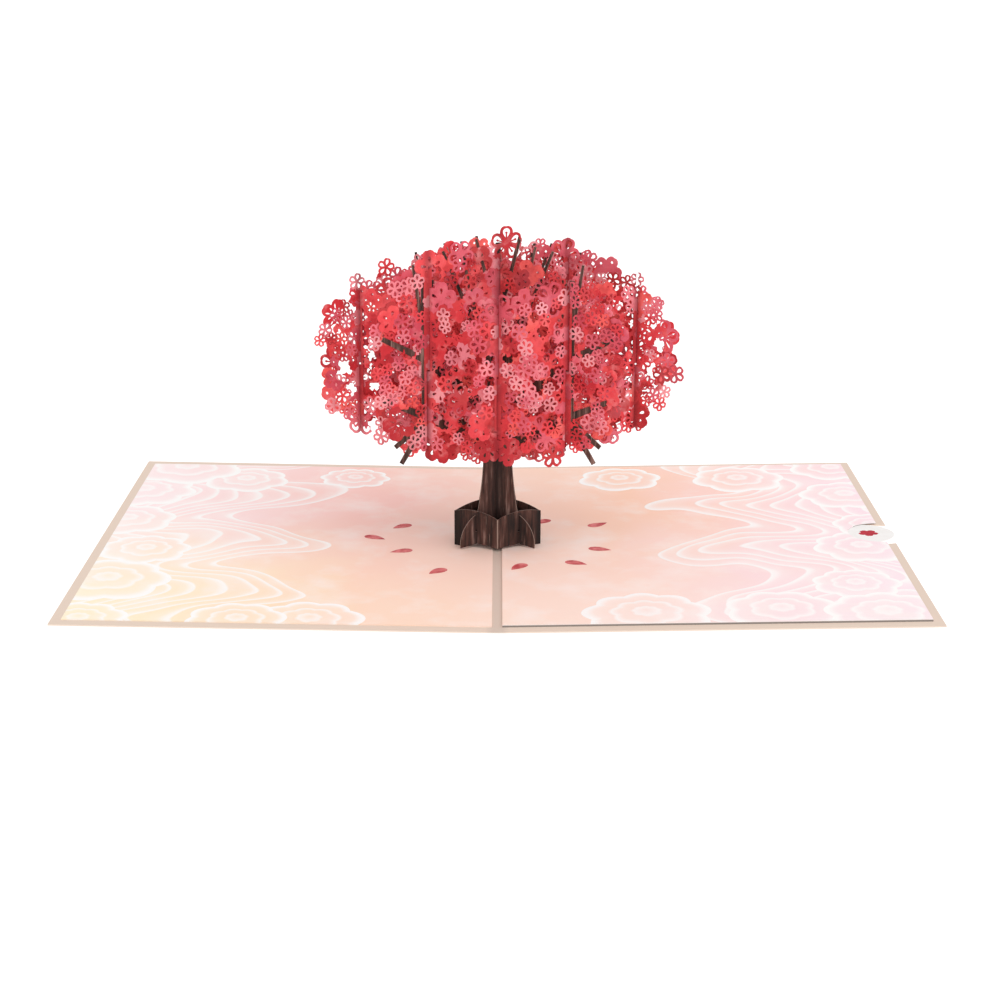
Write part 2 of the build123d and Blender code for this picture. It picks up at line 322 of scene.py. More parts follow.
def cutLace(flowers, slots):
    # plane cut of all outlines: a cell is paper if its topmost flower isn't cut there
    coords = []
    faces = []
    roles = []

    def put(points, role):
        # the cut needs every outline to run anticlockwise
        turn = sum(a[0] * b[1] - a[1] * b[0] for a, b in zip(points, points[1:] + points[:1]))
        points = points if turn > 0 else points[::-1]
        first = len(coords)
        coords.extend(Vector(p) for p in points)
        faces.append(list(range(first, first + len(points))))
        roles.append(role)

    for order, (kind, x, z, radius, turn, tone) in enumerate(flowers):
        if kind == "base":
            put(x, ("body", order))
            continue
        outline, cuts, stamens = flowerParts(kind, x, z, radius, turn)
        put(outline, ("body", order))
        for points in cuts:
            put(points, ("cut", order))
        for points in stamens:
            put(points, ("stamen", order))
    for points in slots:
        put(points, ("slot", -1))
        middle = (points[0][0] + points[1][0]) / 2
        put(halfLap(0, middle, points[1][0] - points[0][0] + 2 * lace["band"]), ("band", -1))
    # output type 1 keeps the triangles inside the outlines
    plane = delaunay_2d_cdt(coords, [], faces, 1, lace["snap"], True)
    points, cells, cellIds = plane[0], plane[2], plane[5]
    kept = []
    for cell, ids in zip(cells, cellIds):
        owner = -1
        cut = set()
        stamen = set()
        slotted = False
        banded = False
        based = False
        for k in ids:
            role, order = roles[k]
            if role == "body":
                owner = max(owner, order)
                based = based or order == 0
            elif role == "band":
                banded = True
            elif role == "cut":
                cut.add(order)
            elif role == "stamen":
                stamen.add(order)
            else:
                slotted = True
        if owner < 0 or slotted:
            continue
        # the paper beside a slot is left uncut, so that the crossing holds
        opened = flowers[owner][0] == "gap" or (owner in cut and owner not in stamen)
        if opened and not (banded and based):
            continue
        kept.append((cell, 0 if flowers[owner][0] == "gap" else owner))
    return points, kept


def biggestIsland(kept):
    # cells joined edge to edge; loose bits fall away
    byEdge = {}
    for k, (cell, owner) in enumerate(kept):
        for a, b in zip(cell, cell[1:] + cell[:1]):
            byEdge.setdefault((min(a, b), max(a, b)), []).append(k)
    joined = {k: [] for k in range(len(kept))}
    for pair in byEdge.values():
        for a in pair:
            joined[a].extend(b for b in pair if b != a)
    seen = set()
    best = []
    for k in range(len(kept)):
        if k in seen:
            continue
        island = [k]
        seen.add(k)
        for at in island:
            for other in joined[at]:
                if other not in seen:
                    seen.add(other)
                    island.append(other)
        if len(island) > len(best):
            best = island
    return [kept[k] for k in best]


def buildLace(name, place, start, flowers, slots):
    points, kept = cutLace(flowers, slots)
    kept = biggestIsland(kept)
    bm = bmesh.new()
    tint = bm.faces.layers.float_color.new("tint")
    made = {}
    for cell, owner in kept:
        corners = []
        for k in cell:
            if k not in made:
                made[k] = bm.verts.new((points[k].x, points[k].y, start))
            corners.append(made[k])
        face = bm.faces.new(corners)
        face[tint] = flowers[owner][-1]
    bm.normal_update()
    for edge in bm.edges:
        pair = [face[tint][:] for face in edge.link_faces]
        edge.seam = len(pair) == 2 and pair[0] != pair[1]
    bmesh.ops.dissolve_limit(bm, angle_limit=radians(lace["flatness"]), verts=bm.verts, edges=bm.edges,
                             delimit={"SEAM"})
    front = list(bm.faces)
    walls = bmesh.ops.extrude_face_region(bm, geom=front)
    raised = [v for v in walls["geom"] if isinstance(v, bmesh.types.BMVert)]
    bmesh.ops.translate(bm, vec=(0, 0, sliceTree["paper"]), verts=raised)
    bmesh.ops.transform(bm, matrix=place, verts=bm.verts)
    bmesh.ops.recalc_face_normals(bm, faces=bm.faces)
    mesh = bpy.data.meshes.new(name)
    bm.to_mesh(mesh)
    bm.free()
    piece = bpy.data.objects.new(name, mesh)
    scene.collection.objects.link(piece)
    return piece


def halfLap(heading, u, width):
    # slices of one heading are slotted from below and those of the other from above
    # heading 0 gives the whole height
    low, high = 0.0, sliceTree["slotEnd"]
    if heading > 0:
        high = sliceTree["slotMeet"] + sliceTree["lapGap"]
    if heading < 0:
        low = sliceTree["slotMeet"] - sliceTree["lapGap"]
    return [(u - width / 2, low), (u + width / 2, low), (u + width / 2, high), (u - width / 2, high)]


# flowers on the rim, half length, middle height, reach above and below it, roundness above and below
frontShape = (20, 34.0, 58.0, 26.0, 20.5, 0.72, 0.95)
backShape = (20, 34.0, 58.0, 31.0, 20.5, 0.72, 0.95)
crownShapes = {1: (25, 38.5, 62.0, 32.5, 28.5, 0.7, 0.75), -1: (25, 38.5, 62.0, 27.0, 28.5, 0.7, 0.75)}
# the flower that stands free at the top of the tree, and the room for it in the other sheets
crest = {"reach": 2.7, "height": 97.7, "radius": 5.5, "turn": 0.3 * pi, "room": 1.2}
# flowers that hang lowest on the front slices, beside the crossings: kind, reach, height, radius and turn
pendants = {"blossom_slice_front_right": [("bead", -20.0, 36.4, 4.8, 0.3), ("drop", -4.8, 33.4, 4.0, 0.94)],
            "blossom_slice_front_left": [("bead", 20.2, 37.2, 4.6, 1.2)]}
# points on the limbs that show between the flowers, as reach and height on half a trunk slice
limbGlimpses = [(7.0, 36.0), (12.5, 39.0), (18.5, 42.5), (8.0, 49.5), (14.0, 54.5), (19.5, 59.0), (3.5, 62.0),
                (8.5, 74.0), (12.5, 84.0), (5.0, 91.0), (29.5, 47.5), (30.0, 66.0), (26.0, 83.0)]
outerSlices = {"blossom_slice_front_right": (1, -1, 21), "blossom_slice_back_left": (1, 1, 22),
               "blossom_slice_front_left": (-1, -1, 23), "blossom_slice_back_right": (-1, 1, 24)}
crownSheets = {"crown_sheet_a_front": (1, 1, 11), "crown_sheet_a_back": (1, -1, 12),
               "crown_sheet_b_front": (-1, 1, 13), "crown_sheet_b_back": (-1, -1, 14)}


def seenThrough(heading, side, sheetPlace):
    # the limb points of one half of a trunk slice, as the camera sees them through another sheet
    eye = Vector(cameraSpec["place"]) * mm
    into = sheetPlace.inverted()
    found = []
    for reach, z in limbGlimpses:
        start = into @ (slicePlace(heading, 0) @ Vector((side * reach, z, 0)))
        end = into @ eye
        share = start.z / (start.z - end.z)
        at = start.lerp(end, share)
        found.append((at.x, at.y))
    return found


def crossings():
    # places in plan where slices of the two headings meet
    steps = [(p, q) for p in (-1, 0, 1) for q in (-1, 0, 1)]
    return [((q - p) * sliceTree["crossX"], sliceTree["y"] + (p + q) * sliceTree["crossY"]) for p, q in steps]


# blossom print: size of the wet blooms and of the wash in mm, how much of the wash shows over the flowers,
# and the reach in mm and the depth of the painted shade along each crossing of two sheets
blossomPrint = {"bloom": 4.5, "wash": 15.0, "washShare": 0.28, "creaseShade": 2.2, "creaseShadeDepth": 0.62}


def blossomPaper():
    # laser-cut paper printed in watercolour: each flower's own tone, a red wash over it and small wet blooms
    material, tree, shader = startMaterial("blossom_paper", 0.72)
    place = paperGrain(tree, shader)
    tint = add(tree, "Attribute", attribute_name="tint").outputs["Color"]
    blooms = add(tree, "TexNoise",
                 {"Scale": 1 / (blossomPrint["bloom"] * mm), "Detail": 5.0, "Roughness": 0.62},
                 {"Vector": place})
    reds = add(tree, "TexNoise",
               {"Scale": 1 / (blossomPrint["wash"] * mm), "Detail": 2.0, "Roughness": 0.5},
               {"Vector": place})
    field = add(tree, "ValToRGB", None, {"Fac": reds.outputs["Fac"]},
                [(0.32, linear("#c92a36")), (0.45, linear("#ee4b51")), (0.56, linear("#f4635f")),
                 (0.68, linear("#f2828c"))])
    tint = add(tree, "Mix", {"Factor": blossomPrint["washShare"]}, {"A": tint, "B": field.outputs["Color"]},
               data_type="RGBA").outputs["Result"]
    deep = add(tree, "MapRange", {"From Min": 0.5, "From Max": 0.28, "To Max": 0.55},
               {"Value": blooms.outputs["Fac"]}).outputs[0]
    pale = add(tree, "MapRange", {"From Min": 0.54, "From Max": 0.76, "To Max": 0.5},
               {"Value": blooms.outputs["Fac"]}).outputs[0]
    darker = add(tree, "Mix", {"B": linear("#a81824")}, {"Factor": deep, "A": tint}, data_type="RGBA")
    wet = add(tree, "Mix", {"B": linear("#f7a6a6")}, {"Factor": pale, "A": darker.outputs["Result"]},
              data_type="RGBA")
    # painted shade: darker along the upright lines where two sheets cross, for the shade in those corners
    plan = add(tree, "VectorMath", {1: (1.0, 1.0, 0.0)}, {0: place}, operation="MULTIPLY").outputs[0]
    nearest = None
    for x, y in crossings():
        off = add(tree, "VectorMath", {1: (x * mm, y * mm, 0.0)}, {0: plan},
                  operation="DISTANCE").outputs["Value"]
        nearest = off if nearest is None else add(tree, "Math", None, {0: nearest, 1: off},
                                                  operation="MINIMUM").outputs[0]
    # painted shade, full at a crossing and gone at this reach
    creaseShade = add(tree, "MapRange",
                 {"From Max": blossomPrint["creaseShade"] * mm,
                  "To Min": blossomPrint["creaseShadeDepth"], "To Max": 0.0},
                 {"Value": nearest}, interpolation_type="SMOOTHSTEP").outputs[0]
    deeper = add(tree, "Mix", {"B": linear("#7d1720")}, {"Factor": creaseShade, "A": wet.outputs["Result"]},
                 data_type="RGBA")
    tree.links.new(deeper.outputs["Result"], shader.inputs["Base Color"])
    return material


blossom = blossomPaper()
for name, (heading, offset, seed) in outerSlices.items():
    side = 1 if -heading * offset > 0 else -1
    thinSlot = slotWidth(sliceTree["paper"], sliceTree["paper"])
    slots = [halfLap(heading, 0, slotWidth(stack, sliceTree["paper"]))]
    slots += [halfLap(heading, k * sliceStep, thinSlot) for k in (-1, 1)]
    place = slicePlace(heading, offset)
    glimpses = [] if offset > 0 else seenThrough(-side, side, place)
    shape = backShape if offset > 0 else frontShape
    flowers = layFlowers(seed, side, shape, lace["outerGaps"], glimpses, pendants.get(name, []))
    piece = buildLace(name + "_lace", place, -sliceTree["paper"] / 2, flowers, slots)
    piece.data.materials.append(blossom)
    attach(piece, "card")
    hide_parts(name)
    print(name, "lace cells:", len(piece.data.polygons))
for name, (heading, face, seed) in crownSheets.items():
    thinSlot = slotWidth(sliceTree["paper"], stack)
    slots = [halfLap(heading, 0, slotWidth(stack, stack))]
    slots += [halfLap(heading, k * sliceStep, thinSlot) for k in (-1, 1)]
    start = sliceTree["paper"] / 2 if face > 0 else -1.5 * sliceTree["paper"]
    # the topmost flower stands free, so the other sheets are open where it is
    laidLast = [("open", crest["reach"], crest["height"], crest["radius"], crest["turn"])]
    if name != "crown_sheet_a_front":
        laidLast = [("gap", crest["reach"], crest["height"], crest["room"] * crest["radius"], crest["turn"])]
    glimpses = [(-heading * reach, z) for reach, z in limbGlimpses] if face > 0 else []
    flowers = layFlowers(seed, 1, crownShapes[heading], lace["crownGaps"], glimpses, laidLast)
    piece = buildLace(name + "_lace", slicePlace(heading, 0), start, flowers, slots)
    piece.data.materials.append(blossom)
    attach(piece, "card")
    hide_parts(name)
    print(name, "lace cells:", len(piece.data.polygons))

# bark print and painted shade, in mm: width and height of the broad streaks and of the fine scratches, reach
# of the painted shade up the trunk's middle, reach and top of the painted shade in the ring's corners, and
# the bare line at its fold
bark = {"streak": (1.6, 20.0), "scratch": (0.5, 6.0), "creaseShade": 3.4, "creaseShadeDepth": 0.75,
        "corner": 1.7, "cornerDepth": 0.7, "collar": 12.4, "fold": 0.2, "facing": 0.9}
# painted shade towards the ends of the ring, as shares of its half length
ringShade = {"from": 0.78, "to": 0.96, "depth": 0.94}


def barkPaper(name, faces, ringEnd, isRing):
    # dark brown printed paper: upright bark streaks on the faces, bare lighter board along the cut edges, and
    # painted shade in the hollows and at the ring's ends
    material, tree, shader = startMaterial(name, 0.62)
    place = paperGrain(tree, shader)
    layers = []
    for wide, tall in (bark["streak"], bark["scratch"]):
        stretch = (1 / (wide * mm), 1 / (wide * mm), 1 / (tall * mm))
        upright = add(tree, "VectorMath", {1: stretch}, {0: place}, operation="MULTIPLY")
        layers.append(add(tree, "TexNoise", {"Scale": 1.0, "Detail": 4.0, "Roughness": 0.6},
                          {"Vector": upright.outputs[0]}).outputs["Fac"])
    streaks = add(tree, "ValToRGB", None, {"Fac": layers[0]},
                  [(0.34, linear("#1c0e0b")), (0.46, linear("#40251d")), (0.58, linear("#593a32")),
                   (0.68, linear("#94746a"))])
    scratched = add(tree, "MapRange", {"From Min": 0.58, "From Max": 0.72, "To Max": 0.7},
                    {"Value": layers[1]})
    worn = add(tree, "Mix", {"B": linear("#8f7268")},
               {"Factor": scratched.outputs[0], "A": streaks.outputs["Color"]}, data_type="RGBA")
    grooved = add(tree, "MapRange", {"From Min": 0.42, "From Max": 0.3, "To Max": 0.7}, {"Value": layers[1]})
    grooves = add(tree, "Mix", {"B": linear("#1a0c09")},
                  {"Factor": grooved.outputs[0], "A": worn.outputs["Result"]}, data_type="RGBA")
    normal = add(tree, "NewGeometry").outputs["True Normal"]
    facing = None
    for axis in faces:
        along = add(tree, "VectorMath", {1: axis}, {0: normal}, operation="DOT_PRODUCT").outputs["Value"]
        size = add(tree, "Math", None, {0: along}, operation="ABSOLUTE").outputs[0]
        facing = size if facing is None else add(tree, "Math", None, {0: facing, 1: size},
                                                 operation="MAXIMUM").outputs[0]
    printed = add(tree, "Math", {1: bark["facing"]}, {0: facing}, operation="GREATER_THAN").outputs[0]
    shade = grooves.outputs["Result"]
    xyz = add(tree, "SeparateXYZ", None, {0: place})
    off = add(tree, "Math", None, {0: xyz.outputs["X"]}, operation="ABSOLUTE").outputs[0]
    # painted shade in the corners where the root fins pass through the ring
    aside = add(tree, "Math", {1: ringEnd / 2}, {0: off}, operation="SUBTRACT").outputs[0]
    apart = add(tree, "Math", None, {0: aside}, operation="ABSOLUTE").outputs[0]
    corner = add(tree, "MapRange",
                 {"From Max": bark["corner"] * mm, "To Min": bark["cornerDepth"], "To Max": 0.0},
                 {"Value": apart}, interpolation_type="SMOOTHSTEP").outputs[0]
    low = add(tree, "Math", {1: bark["collar"] * mm}, {0: xyz.outputs["Z"]}, operation="LESS_THAN").outputs[0]
    cornered = add(tree, "Math", None, {0: corner, 1: low}, operation="MULTIPLY").outputs[0]
    shade = add(tree, "Mix", {"B": linear("#170b09")}, {"Factor": cornered, "A": shade},
                data_type="RGBA").outputs["Result"]
    # painted shade: the trunk darker up its middle, where its two slices cross
    if not isRing:
        creaseShade = add(tree, "MapRange",
                     {"From Max": bark["creaseShade"] * mm, "To Min": bark["creaseShadeDepth"], "To Max": 0.0},
                     {"Value": off}, interpolation_type="SMOOTHSTEP").outputs[0]
        shade = add(tree, "Mix", {"B": linear("#1d0f0c")}, {"Factor": creaseShade, "A": shade},
                    data_type="RGBA").outputs["Result"]
    else:
        # painted shade darkening the ring towards its ends
        dusk = add(tree, "MapRange",
                   {"From Min": ringShade["from"] * ringEnd, "From Max": ringShade["to"] * ringEnd,
                    "To Max": ringShade["depth"]},
                   {"Value": off}, interpolation_type="SMOOTHSTEP").outputs[0]
        shade = add(tree, "Mix", {"B": linear("#0f0706")}, {"Factor": dusk, "A": shade},
                    data_type="RGBA").outputs["Result"]
        beside = add(tree, "Math", {1: bark["fold"] * mm}, {0: off}, operation="GREATER_THAN").outputs[0]
        printed = add(tree, "Math", None, {0: printed, 1: beside}, operation="MINIMUM").outputs[0]
    colour = add(tree, "Mix", {"A": linear("#9a8378")}, {"Factor": printed, "B": shade}, data_type="RGBA")
    tree.links.new(colour.outputs["Result"], shader.inputs["Base Color"])
    return material


sliceFacings = [(sin(h * sliceAngle), -cos(h * sliceAngle), 0) for h in (1, -1)]
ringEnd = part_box("root_ring")[1][0]
trunkPaper = barkPaper("printed_bark_paper", sliceFacings, ringEnd, False)
for name in ("trunk_slice_a", "trunk_slice_b"):
    dress(name, trunkPaper)
dress("root_ring", barkPaper("printed_root_paper", sliceFacings, ringEnd, True))

# painted shade in the groove along the spine: full and gone at these distances from the fold, in mm
spineShade = {"full": 1.5, "gone": 3.5}


def coverCard():
    # uncoated cream cover board, greyed by painted shade in the groove where it shows between the two liners
    material, tree, shader = startMaterial("cream_cover_board", 0.8)
    place = paperGrain(tree, shader)
    x = add(tree, "SeparateXYZ", None, {0: place}).outputs["X"]
    off = add(tree, "Math", None, {0: x}, operation="ABSOLUTE").outputs[0]
    spine = add(tree, "MapRange",
                {"From Min": spineShade["full"] * mm, "From Max": spineShade["gone"] * mm,
                 "To Min": 1.0, "To Max": 0.0}, {"Value": off}).outputs[0]
    colour = add(tree, "Mix", {"A": linear("#e4d0c0"), "B": linear("#d6c4b6")}, {"Factor": spine},
                 data_type="RGBA")
    tree.links.new(colour.outputs["Result"], shader.inputs["Base Color"])
    return material


dress("cover", coverCard())

# leaves of the card in mm: the spine edge, the length of a leaf, how far its outer edge rises, and its layers
leaf = {"hinge": 1.5, "length": 125.5, "rise": 2.1, "board": 0.4, "liner": 0.25, "pocket": 0.4, "note": 0.25,
        "noteRise": 0.07}
leafAngle = asin(leaf["rise"] / leaf["length"])
panelTop = leaf["board"] + leaf["pocket"] + leaf["liner"]
# front wall of the pocket: its white edge begins and is full this far below the panel's top, in mm
pocketWall = {"begin": 0.25, "full": 0.05, "facing": -0.7}
# fields of the wash from the outer left to the outer right edge, along the back and along the front
wash = {"back": ["#ffe9ea", "#fedddb", "#fecfc6", "#fedccc", "#ffd3bb", "#fed8d2", "#fee0ea"],
        "front": ["#fff1cd", "#ffe9c6", "#ffdec6", "#ffe4d4", "#ffe4d8", "#fee3e6", "#fde7ee"],
        "reach": 127.0, "backTo": 40.0, "frontFrom": -75.0, "wobble": 14.0, "bloom": 30.0, "blot": 20.0}
noiseGain = 4  # noise stays within about a quarter of its middle, so a push in mm is scaled up by this
# white brush work of the border, in mm: rosette clouds along the outer edges and wavy lines further in
clouds = {"along": 31.0, "inset": 9.0, "stray": 8.0, "radius": (12.0, 20.0), "lobes": (7, 8, 9),
          "scallop": 0.13, "lean": 0.22, "clearX": 50.0, "halfDepth": 85.0, "outer": 124.0, "seed": 31}
streams = {"inner": 70.0, "sway": 15.0, "length": 52.0, "phase": 0.8, "spacing": 8.5, "begin": 0.06,
           "warp": 9.0, "drift": 45.0}
# whiteness of a brush stroke across its width, and from the middle of a cloud to its edge
strokeStops = [(0.0, 0.92), (0.1, 0.8), (0.3, 0.3), (0.7, 0.1), (0.93, 0.1), (1.0, 0.92)]
cloudStops = [(0.0, 0.2), (0.2, 0.78), (0.26, 0.12), (0.42, 0.2), (0.54, 0.85), (0.6, 0.14), (0.8, 0.3),
              (0.93, 1.0)]


def washField(tree, flat, bloom):
    # colours run from edge to edge across both leaves, and from back to front
    shift = add(tree, "VectorMath", {1: (0.5, 0.5, 0.5)}, {0: bloom.outputs["Color"]}, operation="SUBTRACT")
    push = add(tree, "VectorMath", {"Scale": noiseGain * wash["wobble"]}, {0: shift.outputs[0]},
               operation="SCALE")
    wet = add(tree, "VectorMath", None, {0: flat, 1: push.outputs[0]}, operation="ADD")
    wetXyz = add(tree, "SeparateXYZ", None, {0: wet.outputs[0]})
    across = add(tree, "MapRange", {"From Min": -wash["reach"], "From Max": wash["reach"]},
                 {"Value": wetXyz.outputs["X"]}).outputs[0]
    rows = []
    for key in ("back", "front"):
        last = len(wash[key]) - 1
        stops = [(k / last, linear(colour)) for k, colour in enumerate(wash[key])]
        rows.append(add(tree, "ValToRGB", None, {"Fac": across}, stops).outputs["Color"])
    frontward = add(tree, "MapRange", {"From Min": wash["backTo"], "From Max": wash["frontFrom"]},
                    {"Value": wetXyz.outputs["Y"]}, interpolation_type="SMOOTHSTEP").outputs[0]
    field = add(tree, "Mix", None, {"Factor": frontward, "A": rows[0], "B": rows[1]}, data_type="RGBA")
    # paler blots where the brush was wetter
    blots = add(tree, "TexNoise", {"Scale": 1 / wash["blot"], "Detail": 4.0, "Roughness": 0.6},
                {"Vector": flat})
    wetter = add(tree, "MapRange", {"From Min": 0.48, "From Max": 0.72, "To Max": 0.55},
                 {"Value": blots.outputs["Fac"]}).outputs[0]
    return add(tree, "Mix", {"B": linear("#fff4ef")}, {"Factor": wetter, "A": field.outputs["Result"]},
               data_type="RGBA").outputs["Result"]


def streamLines(tree, page, side):
    # parallel wavy lines, crisp towards the middle of the card and fading outwards
    drift = add(tree, "TexNoise", {"Scale": 1 / streams["drift"], "Detail": 1.0}, {"Vector": page})
    shift = add(tree, "VectorMath", {1: (0.5, 0.5, 0.5)}, {0: drift.outputs["Color"]}, operation="SUBTRACT")
    push = add(tree, "VectorMath", {"Scale": noiseGain * streams["warp"]}, {0: shift.outputs[0]},
               operation="SCALE")
    bent = add(tree, "VectorMath", None, {0: page, 1: push.outputs[0]}, operation="ADD")
    xyz = add(tree, "SeparateXYZ", None, {0: bent.outputs[0]})
    turn = add(tree, "Math", {1: 2 * pi / streams["length"], 2: side * streams["phase"]},
               {0: xyz.outputs["Y"]}, operation="MULTIPLY_ADD").outputs[0]
    sway = add(tree, "Math", None, {0: turn}, operation="SINE").outputs[0]
    inner = add(tree, "Math", {1: streams["sway"], 2: streams["inner"]}, {0: sway},
                operation="MULTIPLY_ADD").outputs[0]
    out = add(tree, "Math", {1: side}, {0: xyz.outputs["X"]}, operation="MULTIPLY").outputs[0]
    past = add(tree, "Math", None, {0: out, 1: inner}, operation="SUBTRACT").outputs[0]
    level = add(tree, "Math", {1: streams["spacing"]}, {0: past}, operation="DIVIDE").outputs[0]
    phase = add(tree, "Math", None, {0: level}, operation="FRACT").outputs[0]
    stroke = add(tree, "ValToRGB", None, {"Fac": phase}, [(at, grey(w)) for at, w in strokeStops])
    begun = add(tree, "MapRange", {"From Min": -streams["begin"], "From Max": 0.0},
                {"Value": level}).outputs[0]
    return add(tree, "Mix", {"A": grey(0.0)}, {"Factor": begun, "B": stroke.outputs["Color"]},
               data_type="RGBA").outputs["Result"]


def cloudPlaces(side):
    # a cloud at even steps along the back, outer and front edge of one leaf
    chance = Random(clouds["seed"] + side)
    edge = clouds["outer"] - clouds["inset"]
    deep = clouds["halfDepth"] - clouds["inset"]
    runs = [edge - clouds["clearX"], 2 * deep, edge - clouds["clearX"]]
    steps = int(sum(runs) / clouds["along"])
    places = []
    for k in range(steps + 1):
        run = sum(runs) * k / steps
        if run < runs[0]:
            x, y = clouds["clearX"] + run, deep
        elif run < runs[0] + runs[1]:
            x, y = edge, deep - (run - runs[0])
        else:
            x, y = edge - (run - runs[0] - runs[1]), -deep
        stray = [chance.uniform(-1, 1) * clouds["stray"] for axis in "xy"]
        radius = chance.uniform(*clouds["radius"])
        lobes = chance.choice(clouds["lobes"])
        places.append((side * (x + stray[0]), y + stray[1], radius, lobes, chance.uniform(0, pi)))
    chance.shuffle(places)
    return places


def linerPaper(name, side):
    # smooth liner printed with a pale watercolour wash and white clouds and waves around the border
    material, tree, shader = startMaterial(name, 0.68)
    place = paperGrain(tree, shader)
    flat = add(tree, "VectorMath", {"Scale": 1 / mm}, {0: place}, operation="SCALE").outputs[0]
    bloom = add(tree, "TexNoise", {"Scale": 1 / wash["bloom"], "Detail": 3.0}, {"Vector": flat})
    field = washField(tree, flat, bloom)
    page = add(tree, "VectorMath", {1: (1.0, 1.0, 0.0)}, {0: flat}, operation="MULTIPLY").outputs[0]
    white = streamLines(tree, page, side)
    for x, y, radius, lobes, turn in cloudPlaces(side):
        off = add(tree, "VectorMath", {1: (x, y, 0.0)}, {0: page}, operation="SUBTRACT").outputs[0]
        offXyz = add(tree, "SeparateXYZ", None, {0: off})
        reach = add(tree, "VectorMath", None, {0: off}, operation="LENGTH").outputs["Value"]
        angle = add(tree, "Math", None, {0: offXyz.outputs["Y"], 1: offXyz.outputs["X"]},
                    operation="ARCTAN2").outputs[0]
        wave = add(tree, "Math", {1: lobes / 2, 2: turn}, {0: angle}, operation="MULTIPLY_ADD").outputs[0]
        swing = add(tree, "Math", None, {0: wave}, operation="SINE").outputs[0]
        lobe = add(tree, "Math", None, {0: swing}, operation="ABSOLUTE").outputs[0]
        edge = add(tree, "Math", {1: clouds["scallop"] * radius, 2: (1 - clouds["scallop"]) * radius},
                   {0: lobe}, operation="MULTIPLY_ADD").outputs[0]
        leaning = add(tree, "Math", {1: clouds["lean"]}, {0: offXyz.outputs["Y"], 2: reach},
                      operation="MULTIPLY_ADD").outputs[0]
        share = add(tree, "Math", None, {0: leaning, 1: edge}, operation="DIVIDE").outputs[0]
        ring = add(tree, "ValToRGB", None, {"Fac": share}, [(at, grey(w)) for at, w in cloudStops])
        within = add(tree, "Math", {1: 1.0}, {0: share}, operation="LESS_THAN").outputs[0]
        white = add(tree, "Mix", None, {"Factor": within, "A": white, "B": ring.outputs["Color"]},
                    data_type="RGBA").outputs["Result"]
    lined = add(tree, "Mix", {"B": linear("#fffdfb")}, {"Factor": white, "A": field}, data_type="RGBA")
    colour = lined.outputs["Result"]
    if side > 0:
        # along the front the pocket's folded wall shows: a white cut edge above, painted shade below it
        normal = add(tree, "NewGeometry").outputs["True Normal"]
        depth = add(tree, "SeparateXYZ", None, {0: normal}).outputs["Y"]
        front = add(tree, "Math", {1: pocketWall["facing"]}, {0: depth}, operation="LESS_THAN").outputs[0]
        flatXyz = add(tree, "SeparateXYZ", None, {0: flat})
        above = add(tree, "Math", {1: -tan(leafAngle)}, {0: flatXyz.outputs["X"], 2: flatXyz.outputs["Z"]},
                    operation="MULTIPLY_ADD").outputs[0]
        cutEdge = add(tree, "MapRange",
                  {"From Min": panelTop - pocketWall["begin"], "From Max": panelTop - pocketWall["full"]},
                  {"Value": above}).outputs[0]
        # grey is painted shade on the wall, white is its cut edge
        wall = add(tree, "Mix", {"A": linear("#8f8681"), "B": linear("#fdf8f5")}, {"Factor": cutEdge},
                   data_type="RGBA")
        colour = add(tree, "Mix", None, {"Factor": front, "A": colour, "B": wall.outputs["Result"]},
                     data_type="RGBA").outputs["Result"]
    tree.links.new(colour, shader.inputs["Base Color"])
    return material


dress("left_liner", linerPaper("watercolour_liner_paper", -1))
dress("pocket_panel", linerPaper("watercolour_pocket_paper", 1))

noteStock = {"mottle": 3.0}  # size of the mottle in mm


def notePaper():
    # white uncoated writing card, a shade warmer than the floor and faintly mottled
    material, tree, shader = startMaterial("white_note_card", 0.7)
    place = paperGrain(tree, shader)
    mottle = add(tree, "TexNoise",
                 {"Scale": 1 / (noteStock["mottle"] * mm), "Detail": 5.0, "Roughness": 0.7},
                 {"Vector": place})
    stock = add(tree, "ValToRGB", None, {"Fac": mottle.outputs["Fac"]},
                [(0.35, linear("#f2efec")), (0.65, linear("#f7f5f3"))])
    tree.links.new(stock.outputs["Color"], shader.inputs["Base Color"])
    return material


dress("notecard", notePaper())
print("materials set")


def leafPlace(side, along, y, height):
    # point on a leaf: along from the hinge, height above the underside of the cover board
    x = leaf["hinge"] + along * cos(leafAngle) - height * sin(leafAngle)
    return Matrix.Translation(Vector((side * x, y, along * sin(leafAngle) + height * cos(leafAngle))) * mm)


ink = {"thickness": 0.02, "blot": 2.2}  # in mm


def inkPaper(name, dark, light):
    # opaque printing ink laid a little unevenly, so that each petal has a deeper and a paler part
    material, tree, shader = startMaterial(name, 0.65)
    place = add(tree, "TexCoord").outputs["Object"]
    blot = add(tree, "TexNoise", {"Scale": 1 / (ink["blot"] * mm), "Detail": 2.0}, {"Vector": place})
    ramp = add(tree, "ValToRGB", None, {"Fac": blot.outputs["Fac"]},
               [(0.35, linear(dark)), (0.65, linear(light))])
    tree.links.new(ramp.outputs["Color"], shader.inputs["Base Color"])
    return material


def printShape(bm, outline, place):
    # a thin flat layer of ink from its outline in millimetres
    corners = [bm.verts.new((x * mm, y * mm, 0)) for x, y in outline]
    face = bm.faces.new(corners)
    grown = bmesh.ops.extrude_face_region(bm, geom=[face])
    top = [v for v in grown["geom"] if isinstance(v, bmesh.types.BMVert)]
    bmesh.ops.translate(bm, vec=(0, 0, ink["thickness"] * mm), verts=top)
    bmesh.ops.transform(bm, matrix=place, verts=list(set(corners) | set(top)))


def finishPrint(bm, name, material, body):
    bmesh.ops.recalc_face_normals(bm, faces=bm.faces)
    mesh = bpy.data.meshes.new(name)
    bm.to_mesh(mesh)
    bm.free()
    piece = bpy.data.objects.new(name, mesh)
    scene.collection.objects.link(piece)
    piece.data.materials.append(material)
    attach(piece, body)


